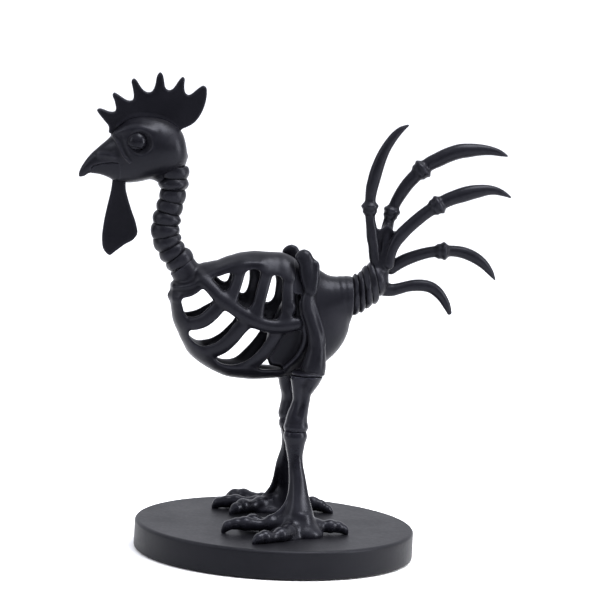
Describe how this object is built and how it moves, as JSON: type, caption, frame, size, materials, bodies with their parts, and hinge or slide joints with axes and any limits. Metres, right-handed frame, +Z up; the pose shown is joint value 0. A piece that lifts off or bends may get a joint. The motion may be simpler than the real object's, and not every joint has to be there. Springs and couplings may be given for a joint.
{
  "type": "skeleton rooster ornament",
  "caption": "Satin-black skeleton rooster statuette with open rib cage, ringed neck and quill tail, standing on a round plinth as a table ornament.",
  "frame": {"origin": "centre of the felt underside, on the table", "axes": "+Z up, -X towards the beak, +X towards the tail, -Y the bird's left side"},
  "size_m": [0.2664, 0.172, 0.2966],
  "materials": {
    "black_casting": "satin",
    "plinth_paint": "satin black paint",
    "felt": "felt",
    "steel": "zinc plated"
  },
  "bodies": {
    "root": {"base_felt_pad": "felt", "base_plinth": "plinth_paint", "breast_keel": "black_casting", "comb": "black_casting", "foot_screws": "steel", "foot_washers": "steel", "left_eye": "black_casting", "left_foot": "black_casting", "left_lower_rib_1": "black_casting", "left_lower_rib_2": "black_casting", "left_lower_rib_3": "black_casting", "left_shank": "black_casting", "left_side_bar": "black_casting", "left_thigh": "black_casting", "left_upper_rib_1": "black_casting", "left_upper_rib_2": "black_casting", "left_upper_rib_3": "black_casting", "leg_dowels": "steel", "lower_jaw": "black_casting", "neck_collar": "black_casting", "neck_ring_1": "black_casting", "neck_ring_2": "black_casting", "neck_ring_3": "black_casting", "neck_ring_4": "black_casting", "neck_ring_5": "black_casting", "neck_ring_6": "black_casting", "neck_ring_7": "black_casting", "neck_ring_8": "black_casting", "neck_ring_9": "black_casting", "neck_rod": "steel", "pelvis": "black_casting", "right_eye": "black_casting", "right_foot": "black_casting", "right_lower_rib_1": "black_casting", "right_lower_rib_2": "black_casting", "right_lower_rib_3": "black_casting", "right_shank": "black_casting", "right_side_bar": "black_casting", "right_thigh": "black_casting", "right_upper_rib_1": "black_casting", "right_upper_rib_2": "black_casting", "right_upper_rib_3": "black_casting", "skull": "black_casting", "spine_bar": "black_casting", "tail_hub": "black_casting", "tail_quill_1": "black_casting", "tail_quill_2": "black_casting", "tail_quill_3": "black_casting", "tail_quill_4": "black_casting", "tail_quill_5": "black_casting", "tail_ring_1": "black_casting", "tail_ring_2": "black_casting", "tail_ring_3": "black_casting", "tail_ring_4": "black_casting", "tail_rod": "steel", "wattle": "black_casting"}
  },
  "joints": []
}
